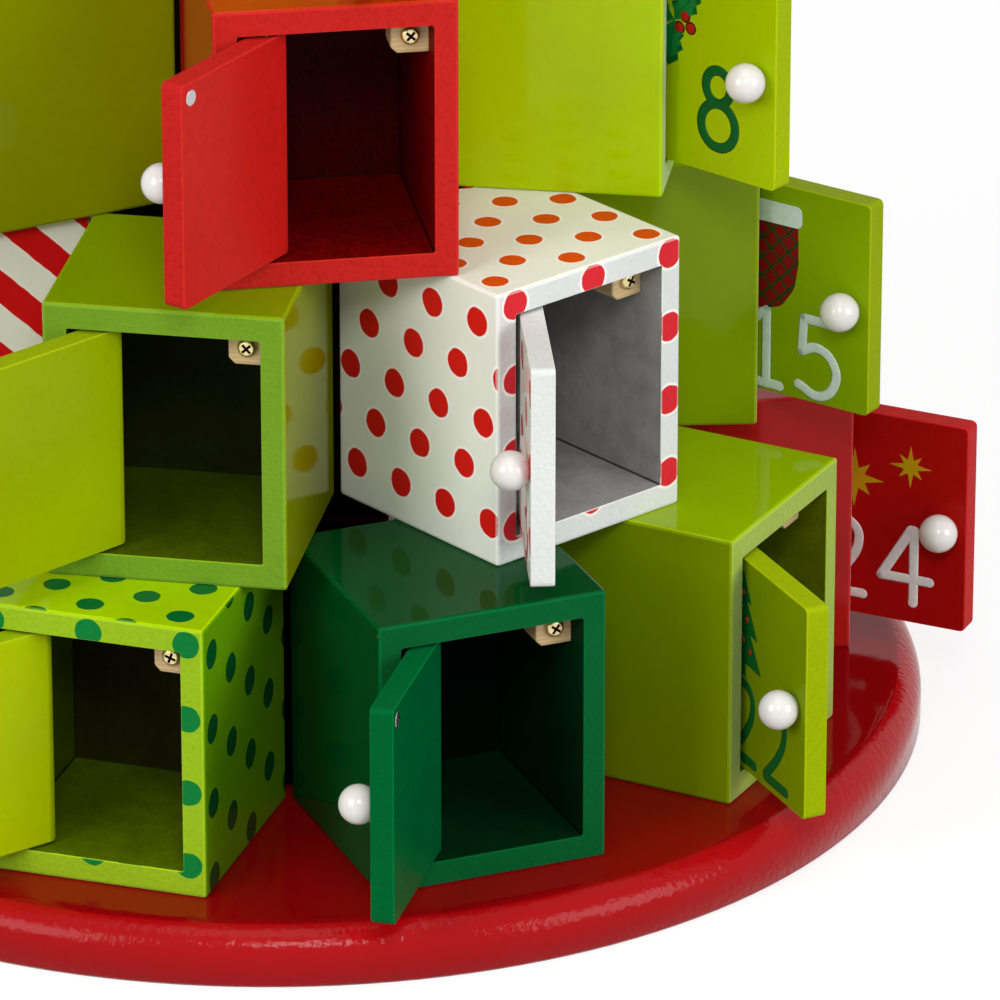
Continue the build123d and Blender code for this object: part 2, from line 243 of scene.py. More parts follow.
paints = {  # doors, box sides, roof, front frame, door rim, inside, inside of the back
    # the red roof is tinted orange, a painted reflection of the lime box above it
    "red": dict(face="#C01B16", side="#AE1A17", roof="#BC2E0C", edge="#BE211C", rim="#C2221F",
                inside="#7A0203", back="#4A0102"),
    "crimson": dict(face="#A80F0C", side="#A61814", roof="#B01814", edge="#B81E1A", rim="#BE2220",
                    inside="#700203", back="#440102"),
    "lime": dict(face="#9EB800", side="#AACA00", roof="#9CBC00", edge="#A3CA1C", rim="#9EB40A",
                 inside="#667400", back="#342C06"),
    # box 22's lime, darker as painted shade from the boxes round it; its front frame is paler, a painted
    # reflection
    "limeInShade": dict(face="#768C00", side="#768C00", roof="#92B000", edge="#98B238", rim="#98AC04",
                  inside="#5C6A00", back="#2E2A06"),
    # under the printed lime box; its side is darker, painted shade from the box beside it
    "meadow": dict(face="#A8BC00", side="#649C04", roof="#A2C800", edge="#94BA1C", rim="#98B00A",
                   inside="#5C7000", back="#32300A"),
    # the olive roof is darker, a painted shadow of the box above it
    "olive": dict(face="#92A600", side="#828E00", roof="#7C9A00", edge="#6E9722", rim="#94A80A",
                  inside="#4E5E00", back="#262C06"),
    "leafGreen": dict(face="#809F00", side="#768F00", roof="#809F00", edge="#94AA10", rim="#8FA20A",
                      inside="#3A4E00", back="#3A3008"),
    "darkGreen": dict(face="#00582A", side="#00451A", roof="#00451A", edge="#005A2A", rim="#00602E",
                      inside="#022C12", back="#011409"),
    # a brighter copy of the white, painted light that lifts the striped box out of the shade it stands in
    "whiteBrightened": dict(face="#ECECE4", side="#F2F2EA", roof="#F2F2EA", edge="#F2F2EA", rim="#E8E8E2",
                 inside="#A29F9D", back="#8C8A88"),
    "white": dict(face="#E2E4DE", side="#EAEDE0", roof="#ECECDF", edge="#DADDDB", rim="#DCDEDA",
                  inside="#A29F9D", back="#8C8A88"),
}
# how far the board's fibres show through a paint
fibres = {"white": 0.35, "whiteBrightened": 0.35, "red": 3.0, "crimson": 2.0}
glosses = {"darkGreen": 0.55}  # the darkest paint lies flatter than the others
# base paint, outline round each dot or stripe, then pattern and colour on sides, roof, front and door
printed = {
    "dotted": dict(base="white", ring="#F6F1EC",
                   side=("dotsSideWhite", "#D41D17"), roof=("dotsTopWhite", "#D8400F"),
                   edge=("dotsFront", "#D6262F"), face=("dotsDoor", "#C4161C")),
    # its side dots are darker, painted shade like the side they lie on
    "limeDotted": dict(base="meadow", ring=None,
                       side=("dotsSideLime", "#064F20"), roof=("dotsTopLime", "#08672A"),
                       edge=("dotsFrontLime", "#0A7A34"), face=("dotsDoor", "#08672A")),
    "striped": dict(base="whiteBrightened", ring="#F8F4EE",
                    side=("stripes", "#D81418"), roof=("stripes", "#D81418"),
                    edge=("stripes", "#BE0F14"), face=("stripes", "#BE0F14")),
}
# the finish of each part of a box or door, and how far its corners chip
boardParts = {"face": ("face", 0.35), "side": ("side", 0.35), "roof": ("roof", 0.35), "edge": ("edge", 0.5),
              "rim": ("rim", 0.5), "inside": ("inside", 0.1), "back": ("inside", 0.1)}
boxCoats, doorCoats = {}, {}
for name, p in paints.items():
    ways = dict(fibre=fibres.get(name, 1.0), gloss=glosses.get(name, 1.0))
    coat = {part: paintedBoard("%sAcrylic_%s" % (name, part), p[part], finish, chips=chips, **ways)
            for part, (finish, chips) in boardParts.items()}
    boxCoats[name] = [coat[part] for part in ("side", "roof", "edge", "inside", "back")]
    doorCoats[name] = [coat[part] for part in ("face", "face", "rim")]  # outer face, inner face, rim
for name, p in printed.items():
    base, fibre = paints[p["base"]], fibres.get(p["base"], 1.0)
    coat = {part: paintedBoard("%sPrint_%s" % (name, part), base[part], part,
                               *p[part], p["ring"], fibre=fibre)
            for part in ("side", "roof", "edge", "face")}
    boxCoats[name] = [coat[part] for part in ("side", "roof", "edge")] + boxCoats[p["base"]][3:]
    doorCoats[name] = [coat["face"]] + doorCoats[p["base"]][1:]
print("paints:", len(boxCoats), "box coats")


# thick acrylic from a stencil: nearly even, a little streaky; streak and ridge are in millimetres
stencilLook = dict(shine=0.15, streak=1.8, tone=(0.84, 1.14), rough=(0.30, 0.48), ridge=0.03)


def brushPaint(name, colour):
    p = stencilLook
    material, tree, shader = newMaterial(name, ior=1.5)
    feed(shader, {"Specular IOR Level": p["shine"]})
    place = addNode(tree, "TexCoord").outputs["Object"]
    streak = addNode(tree, "TexNoise", {"Vector": place, "Scale": 1000 / p["streak"], "Detail": 3.0})
    coat = unevenCoat(tree, streak, colour, p["tone"])
    dull = addNode(tree, "MapRange",
                   {0: streak, 1: noiseLow, 2: noiseHigh, 3: p["rough"][0], 4: p["rough"][1]})
    ridge = addNode(tree, "Bump", {"Height": streak, "Strength": 1.0, "Distance": p["ridge"] / 1000})
    feed(shader, {"Base Color": coat, "Roughness": dull, "Normal": ridge})
    return material


# thin crossed lines painted over a flat ground; millimetres from line to line,
# and from a line's middle to bare ground and to full paint
plaidLook = dict(rough=0.42, shine=0.15, spacing=5.2, fade=(0.62, 0.32))


def plaidPaint(name, ground, line):
    p = plaidLook
    material, tree, shader = newMaterial(name, roughness=p["rough"], ior=1.5)
    feed(shader, {"Specular IOR Level": p["shine"]})
    flat = addNode(tree, "UVMap", uv_map="flat")
    parts = addNode(tree, "SeparateXYZ", {0: flat}).outputs
    lines = []
    for operation in ("ADD", "SUBTRACT"):
        slant = addNode(tree, "Math", {0: parts["X"], 1: parts["Y"]}, operation=operation)
        near = addNode(tree, "Math", {0: slant, 1: p["spacing"] / 2, 2: -p["spacing"] / 2}, operation="WRAP")
        far = addNode(tree, "Math", {0: near}, operation="ABSOLUTE")
        lines.append(addNode(tree, "MapRange", {0: far, 1: p["fade"][0], 2: p["fade"][1], 3: 0.0, 4: 1.0}))
    either = addNode(tree, "Math", {0: lines[0], 1: lines[1]}, operation="MAXIMUM")
    coat = addNode(tree, "Mix", {0: either, 6: linear(ground), 7: linear(line)}, **colourMix).outputs[2]
    feed(shader, {"Base Color": coat})
    return material


# planed beech, left bare: pink-tan with short dark flecks, so many per millimetre along and across the grain
beechLook = dict(rough=0.58, dark="#A6804C", pale="#E4CC9C", along=0.12, across=1.6, pore=0.05)


def beechWood(name, mapping):
    b = beechLook
    material, tree, shader = newMaterial(name, roughness=b["rough"], ior=1.5)
    if mapping == "flat":
        source = addNode(tree, "UVMap", uv_map="flat").outputs["UV"]
        stretch = (b["along"], b["across"], 1.0)
    else:
        source = addNode(tree, "TexCoord").outputs["Object"]
        stretch = (b["across"] * 1000, b["across"] * 1000, b["along"] * 1000)
    long = addNode(tree, "Mapping", {"Vector": source, "Scale": stretch})
    fleck = addNode(tree, "TexNoise", {"Vector": long, "Scale": 1.0, "Detail": 3.0})
    wood = addNode(tree, "Mix",
                   {0: fleck, 6: linear(b["dark"]), 7: linear(b["pale"])}, **colourMix).outputs[2]
    pores = addNode(tree, "Bump", {"Height": fleck, "Strength": 1.0, "Distance": b["pore"] / 1000})
    feed(shader, {"Base Color": wood, "Normal": pores})
    return material


# plated and tumbled metal: bright, with a soft cloud of fine marks
metalLook = dict(tone=(0.8, 1.12), spread=(-0.08, 0.1))


def plainMetal(name, colour, rough, scratch):
    # scratch is the size of the marks in millimetres
    m = metalLook
    material, tree, shader = newMaterial(name, metallic=1.0)
    place = addNode(tree, "TexCoord").outputs["Object"]
    marks = addNode(tree, "TexNoise", {"Vector": place, "Scale": 1000 / scratch, "Detail": 3.0})
    tone = unevenCoat(tree, marks, colour, m["tone"])
    smooth, worn = (rough + much for much in m["spread"])
    dull = addNode(tree, "MapRange", {0: marks, 1: noiseLow, 2: noiseHigh, 3: smooth, 4: worn})
    feed(shader, {"Base Color": tone, "Roughness": dull})
    return material


# dipped or poured gloss lacquer: deep, wet-looking, slightly rippled; cloud and fade are in millimetres
lacquerLook = dict(cloud=50.0, tone=(0.9, 1.08), coreShade="#120605", fade=3.0)


def lacquer(name, colour, rough, peel, height, shine, shadeWithin=0.0):
    # peel and height are the ripple's, in millimetres;
    # within shadeWithin millimetres of the axis, where the boxes hide the disc, it turns near-black: painted
    # shade for the dark core seen between the boxes
    look = lacquerLook
    material, tree, shader = newMaterial(name, roughness=rough, ior=1.5)
    feed(shader, {"Specular IOR Level": shine})
    place = addNode(tree, "TexCoord").outputs["Object"]
    cloud = addNode(tree, "TexNoise", {"Vector": place, "Scale": 1000 / look["cloud"], "Detail": 2.0})
    coat = unevenCoat(tree, cloud, colour, look["tone"])
    if shadeWithin:
        parts = addNode(tree, "SeparateXYZ", {0: place}).outputs
        reach = addNode(tree, "CombineXYZ", {"X": parts["X"], "Y": parts["Y"]})
        radius = addNode(tree, "VectorMath", {0: reach}, operation="LENGTH").outputs["Value"]
        coreShaded = addNode(tree, "MapRange", {0: radius, 1: (shadeWithin - look["fade"]) / 1000,
                                            2: shadeWithin / 1000, 3: 1.0, 4: 0.0})
        coat = addNode(tree, "Mix", {0: coreShaded, 6: coat, 7: linear(look["coreShade"])}, **colourMix).outputs[2]
    ripple = addNode(tree, "TexNoise", {"Vector": place, "Scale": 1000 / peel, "Detail": 2.0})
    skin = addNode(tree, "Bump", {"Height": ripple, "Strength": 1.0, "Distance": height / 1000})
    feed(shader, {"Base Color": coat, "Normal": skin})
    return material


# the flat top is a deeper red than the rim: painted shade and painted reflection of the dark boxes standing
# over it
baseTop = lacquer("redLacquerTopInShade", "#8A0408", 0.09, 5.0, 0.060, shine=0.12, shadeWithin=84.0)
baseRim = lacquer("redGlossLacquerRim", "#A4080E", 0.13, 1.9, 0.21, shine=0.11)
capLacquer = lacquer("redCapLacquer", "#B81014", 0.16, 4.0, 0.035, shine=0.16)
knobLacquer = lacquer("whiteKnobLacquer", "#DEDAD5", 0.14, 3.0, 0.012, shine=0.5)
starBronze = plainMetal("goldBronzePaint", "#C99B35", 0.36, 0.5)
nickel = plainMetal("nickelPlating", "#C9C9CC", 0.24, 0.6)
brass = plainMetal("brassPlatedSteel", "#EAD7A0", 0.34, 0.7)
# near-black metal for the screws' cross recess, painted shade
recessShade = plainMetal("screwRecessShade", "#1C1610", 0.50, 0.7)
pinSteel = plainMetal("drawnSteelPin", "#9B9B9E", 0.34, 0.8)
beechBlock = beechWood("beechBlockGrain", "flat")
beechDowel = beechWood("beechDowelGrain", "object")
inks = {"pine": brushPaint("pineGreenStencil", "#00561F"), "moss": brushPaint("mossGreenStencil", "#0F7030"),
        "mint": brushPaint("mintWhiteStencil", "#CBDCD3"), "berry": brushPaint("berryRedStencil", "#A3190F"),
        "shade": brushPaint("darkBerryStencil", "#4A0B06"), "gold": brushPaint("ochreGoldStencil", "#B9930F"),
        "cream": brushPaint("creamWhiteStencil", "#E0DCDA"), "lime": brushPaint("limeStencil", "#A6C000"),
        "plaid": plaidPaint("plaidStencil", "#7A0A0E", "#0B3A14")}


def makePiece(name, bm, body, coats, nodes=(), place=None):
    mesh = bpy.data.meshes.new(name)
    bm.to_mesh(mesh)
    mesh.transform((place or Matrix.Identity(4)) @ mm)
    for coat in coats:
        mesh.materials.append(coat)
    piece = bpy.data.objects.new(name, mesh)
    scene.collection.objects.link(piece)
    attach(piece, body)
    if nodes:
        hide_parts(*nodes)


def mapFlat(bm):
    # each board face is laid flat, in millimetres of its own box or door
    flat = bm.loops.layers.uv.new("flat")
    for face in bm.faces:
        n = [abs(c) for c in face.normal]
        for loop in face.loops:
            c = loop.vert.co
            loop[flat].uv = (c.y, c.z) if n[0] == max(n) else (c.x, c.z) if n[1] == max(n) else (c.x, c.y)


def ease(bm, edges, offset, segments, worn=None):
    made = bmesh.ops.bevel(bm, geom=edges, offset=offset, offset_type="OFFSET", segments=segments,
                           profile=0.5, affect="EDGES", material=-1, clamp_overlap=True)["faces"]
    if worn:
        for face in made:
            face[worn] = 1.0
    return made


# The boxes: a hollow block each, with eased corners
boxShape = dict(width=60.0, depth=60.0, height=72.0, side=6.0, slab=6.5, back=6.0, outerEase=0.8,
                mouthEase=0.45, seam=0.4)


def openBox():
    s = boxShape
    bm = bmesh.new()
    worn, seamed = bm.faces.layers.float.new("edgeWorn"), bm.faces.layers.float.new("innerCornerLine")
    bmesh.ops.create_cube(bm, size=1.0)
    bmesh.ops.scale(bm, vec=(s["width"], s["depth"], s["height"]), verts=bm.verts)
    bmesh.ops.translate(bm, vec=(0, s["depth"] / 2, s["height"] / 2), verts=bm.verts)
    mouth = min(bm.faces, key=lambda f: f.calc_center_median().y)
    bmesh.ops.inset_individual(bm, faces=[mouth], thickness=s["side"], use_even_offset=True)
    bmesh.ops.scale(bm, vec=(1, 1, (s["height"] - 2 * s["slab"]) / (s["height"] - 2 * s["side"])),
                    space=Matrix.Translation((0, 0, -s["height"] / 2)), verts=mouth.verts)
    rear = bmesh.ops.extrude_discrete_faces(bm, faces=[mouth])["faces"][0]
    bmesh.ops.translate(bm, vec=(0, s["depth"] - s["back"], 0), verts=rear.verts)
    halfWidth, halfMouth = s["width"] / 2, s["width"] / 2 - s["side"]
    outer = [e for e in bm.edges if all(abs(v.co.x) > halfWidth - hair for v in e.verts)]
    for face in ease(bm, outer, s["outerEase"], 2, worn):
        if face.calc_center_median().z < s["outerEase"]:
            face[worn] = 0.0  # nothing rubs the foot of a box
    inner = [e for e in bm.edges if all(abs(v.co.x) < halfMouth + hair
                                        and s["slab"] - hair < v.co.z < s["height"] - s["slab"] + hair
                                        for v in e.verts) and any(v.co.y > 1 for v in e.verts)]
    ease(bm, inner, s["seam"], 1, seamed)
    lip = [e for e in bm.edges if all(abs(v.co.y) < hair and abs(v.co.x) < halfMouth + hair for v in e.verts)]
    ease(bm, lip, s["mouthEase"], 2, worn)
    bm.normal_update()
    mapFlat(bm)
    for face in bm.faces:
        c, n = face.calc_center_median(), face.normal
        within = abs(c.x) < halfMouth + hair and s["slab"] - hair < c.z < s["height"] - s["slab"] + hair
        # the inside faces take the darker inside and back coats, painted shade in the hollow
        if within and s["mouthEase"] + hair < c.y < s["depth"] - s["back"] + hair:
            face.material_index = 4 if n.y < -0.9 else 3
        elif n.y < -0.5 or (within and c.y < 1):
            face.material_index = 2
        elif n.y > 0.9:  # the hidden outer back takes the dark back coat, painted shade for the gaps between the boxes
            face.material_index = 4
        else:
            face.material_index = 1 if abs(n.z) > 0.7 else 0
    return bm


# The doors: a leaf with a fully rounded hinge edge, its ball knob and its magnet
doorShape = dict(pivotX=-16.7, pivotY=3.0, hingeEdge=-6.5, freeEdge=39.9, thick=6.0, foot=7.3, head=64.7,
                 cornerRound=1.5, ease=0.7, hingeFlat=0.02)
knobShape = dict(x=33.8, z=36.0, radius=5.0, out=4.44)
magnetShape = dict(x=35.95, z=60.75, radius=2.0, deep=1.0, proud=0.12, ease=0.1)


def addSlot(bm, verts, index, smooth=False):
    for face in {f for v in verts for f in v.link_faces}:
        face.material_index = index
        face.smooth = smooth


def doorLeaf():
    s = doorShape
    bm = bmesh.new()
    worn = bm.faces.layers.float.new("edgeWorn")
    bmesh.ops.create_cube(bm, size=1.0)
    bmesh.ops.scale(bm, vec=(s["freeEdge"] - s["hingeEdge"], s["thick"], s["head"] - s["foot"]),
                    verts=bm.verts)
    bmesh.ops.translate(bm, vec=((s["freeEdge"] + s["hingeEdge"]) / 2, 0, (s["head"] + s["foot"]) / 2),
                        verts=bm.verts)
    hinge = [e for e in bm.edges if all(v.co.x < s["hingeEdge"] + hair for v in e.verts)
             and abs(e.verts[0].co.z - e.verts[1].co.z) > 1]
    for face in ease(bm, hinge, s["thick"] / 2 - s["hingeFlat"], 7):
        face.smooth = True
    corners = [e for e in bm.edges if all(v.co.x > s["freeEdge"] - hair for v in e.verts)
               and abs(e.verts[0].co.y - e.verts[1].co.y) > 1]
    ease(bm, corners, s["cornerRound"], 4)
    bm.normal_update()
    ease(bm, [e for e in bm.edges if e.calc_face_angle(0) > 0.7], s["ease"], 3, worn)
    bm.normal_update()
    mapFlat(bm)
    for face in bm.faces:
        broad = abs(face.normal.y) > 0.99
        face.material_index = (0 if face.normal.y < 0 else 1) if broad else 2
    k = knobShape
    ball = bmesh.ops.create_uvsphere(bm, u_segments=32, v_segments=20, radius=k["radius"])["verts"]
    bmesh.ops.rotate(bm, matrix=Matrix.Rotation(math.radians(90), 3, "X"), verts=ball)
    bmesh.ops.translate(bm, vec=(k["x"], -s["thick"] / 2 - k["out"], k["z"]), verts=ball)
    addSlot(bm, ball, 3, True)
    m = magnetShape
    disc = bmesh.ops.create_cone(bm, cap_ends=True, segments=32, radius1=m["radius"], radius2=m["radius"],
                                 depth=m["deep"])["verts"]
    bmesh.ops.rotate(bm, matrix=Matrix.Rotation(math.radians(90), 3, "X"), verts=disc)
    bmesh.ops.translate(bm, vec=(m["x"], (s["thick"] - m["deep"]) / 2 + m["proud"], m["z"]), verts=disc)
    addSlot(bm, disc, 4)
    front = [e for e in {e for v in disc for e in v.link_edges}
             if all(v.co.y > s["thick"] / 2 for v in e.verts)]
    ease(bm, front, m["ease"], 2)
    return bm


# Paint strokes, dabs and dots for numbers and pictures, drawn flat (x right, y up) and laid on the door
strokeShape = dict(width=2.75, rise=0.12)
filmShape = dict(rise=0.08, bed=0.10)


def drawStroke(bm, points, width=strokeShape["width"], rise=strokeShape["rise"], closed=False, index=0):
    curve = bpy.data.curves.new("stroke", "CURVE")
    curve.dimensions, curve.bevel_depth, curve.bevel_resolution, curve.resolution_u = "3D", width / 2, 2, 7
    line = curve.splines.new("BEZIER")
    line.bezier_points.add(len(points) - 1)
    line.use_cyclic_u = closed
    for knot, (x, y) in zip(line.bezier_points, points):
        knot.co = (x, y, 0)
        knot.handle_left_type = knot.handle_right_type = "AUTO" if len(points) > 2 else "VECTOR"
    holder = bpy.data.objects.new("stroke", curve)
    scene.collection.objects.link(holder)
    tube = bpy.data.meshes.new_from_object(holder.evaluated_get(bpy.context.evaluated_depsgraph_get()))
    before = set(bm.verts)
    bm.from_mesh(tube)
    for end in ([] if closed else (points[0], points[-1])):
        bmesh.ops.create_uvsphere(bm, u_segments=12, v_segments=8, radius=width / 2,
                                  matrix=Matrix.Translation((end[0], end[1], 0)))
    made = [v for v in bm.verts if v not in before]
    bmesh.ops.scale(bm, vec=(1, 1, rise * 2 / width), verts=made)
    addSlot(bm, made, index, True)
    bpy.data.objects.remove(holder)
    bpy.data.curves.remove(curve)
    bpy.data.meshes.remove(tube)


def drawDab(bm, outline, soft=0.0, index=0, rise=filmShape["rise"]):
    before = set(bm.faces)
    corners = [bm.verts.new((x, y, -filmShape["bed"])) for x, y in outline]
    face = bm.faces.new(corners)
    if soft:
        bmesh.ops.bevel(bm, geom=corners, offset=soft, offset_type="OFFSET", segments=4, profile=0.5,
                        affect="VERTICES", material=-1, clamp_overlap=True)
        face = max((f for f in bm.faces if f not in before), key=lambda f: f.calc_area())
    face.normal_update()
    if face.normal.z < 0:
        face.normal_flip()
    top = bmesh.ops.extrude_face_region(bm, geom=[face], use_keep_orig=True)["geom"]
    raised = [g for g in top if isinstance(g, bmesh.types.BMVert)]
    bmesh.ops.translate(bm, vec=(0, 0, rise + filmShape["bed"]), verts=raised)
    face.normal_flip()
    addSlot(bm, raised, index)
    face.material_index = index


def drawDot(bm, centre, radius, index=0, rise=0.45):
    verts = bmesh.ops.create_uvsphere(bm, u_segments=20, v_segments=10, radius=radius)["verts"]
    bmesh.ops.scale(bm, vec=(1, 1, rise / radius), verts=verts)
    bmesh.ops.translate(bm, vec=(centre[0], centre[1], 0), verts=verts)
    addSlot(bm, verts, index, True)


def ringOf(centre, radii, count, start=90.0):
    # points on a circle, cycling through the given radii
    return [(centre[0] + radii[i % len(radii)] * math.cos(math.radians(start + 360 * i / count)),
             centre[1] + radii[i % len(radii)] * math.sin(math.radians(start + 360 * i / count)))
            for i in range(count)]


def turned(points, angle, centre, size=1.0):
    c, s = math.cos(math.radians(angle)) * size, math.sin(math.radians(angle)) * size
    return [(centre[0] + x * c - y * s, centre[1] + x * s + y * c) for x, y in points]


digits = {  # strokes of a rounded hand, one unit tall
    "0": [("o", [(0.30, 1.0), (0.56, 0.5), (0.30, 0.0), (0.04, 0.5)])],
    "1": [("-", [(0.06, 0.82), (0.26, 1.0)]), ("-", [(0.26, 1.0), (0.26, 0.0)]),
          ("-", [(0.04, 0.0), (0.46, 0.0)])],
    "2": [("-", [(0.05, 0.76), (0.14, 0.94), (0.32, 1.0), (0.50, 0.90), (0.53, 0.70), (0.40, 0.42),
                 (0.04, 0.02)]),
          ("-", [(0.04, 0.0), (0.60, 0.0)])],
    "3": [("-", [(0.06, 0.88), (0.28, 1.0), (0.50, 0.84), (0.44, 0.61), (0.22, 0.53)]),
          ("-", [(0.22, 0.53), (0.48, 0.44), (0.55, 0.22), (0.30, 0.0), (0.03, 0.12)])],
    "4": [("-", [(0.40, 1.0), (0.0, 0.32)]), ("-", [(0.0, 0.32), (0.66, 0.32)]),
          ("-", [(0.44, 1.0), (0.44, 0.0)])],
    "5": [("-", [(0.55, 1.0), (0.10, 1.0)]), ("-", [(0.10, 1.0), (0.07, 0.56)]),
          ("-", [(0.07, 0.56), (0.30, 0.64), (0.54, 0.48), (0.56, 0.20), (0.34, 0.0), (0.03, 0.10)])],
    "6": [("-", [(0.46, 0.98), (0.18, 0.72), (0.04, 0.32), (0.28, 0.0), (0.55, 0.28), (0.34, 0.55),
                 (0.07, 0.40)])],
    "7": [("-", [(0.02, 1.0), (0.56, 1.0)]), ("-", [(0.56, 1.0), (0.20, 0.0)])],
    "8": [("o", [(0.29, 1.0), (0.48, 0.79), (0.29, 0.57), (0.10, 0.79)]),
          ("o", [(0.29, 0.57), (0.56, 0.28), (0.29, 0.0), (0.03, 0.28)])],
    "9": [("-", [(0.14, 0.02), (0.42, 0.28), (0.56, 0.68), (0.32, 1.0), (0.05, 0.72), (0.26, 0.45),
                 (0.53, 0.60)])],
}
numberShape = dict(height=20.4, right=29.8, foot=10.0, gap=2.4, loneLeft=2.6)
numberFoot = {8: 14.6, 24: 13.0, 22: 10.5, 15: 9.4}  # days whose number stands higher or lower


def drawNumber(bm, day, index):
    n = numberShape
    widths = {d: max(x for _, pts in digits[d] for x, _ in pts) for d in digits}
    text = str(day)
    foot, gap = numberFoot.get(day, n["foot"]), n["gap"] + strokeShape["width"]
    pen = n["right"] - sum(widths[d] for d in text) * n["height"] - (len(text) - 1) * gap
    if len(text) == 1:
        pen -= n["loneLeft"]
    for d in text:
        for kind, points in digits[d]:
            path = [(pen + x * n["height"], foot + y * n["height"]) for x, y in points]
            drawStroke(bm, path, closed=kind == "o", index=index)
        pen += widths[d] * n["height"] + gap


leaf = [(0, 0), (2.3, 1.9), (3.1, 3.6), (5.1, 2.4), (6.8, 3.9), (8.3, 2.3), (10.1, 2.8), (12.6, 0),
        (10.1, -2.8), (8.3, -2.3), (6.8, -3.9), (5.1, -2.4), (3.1, -3.6), (2.3, -1.9)]


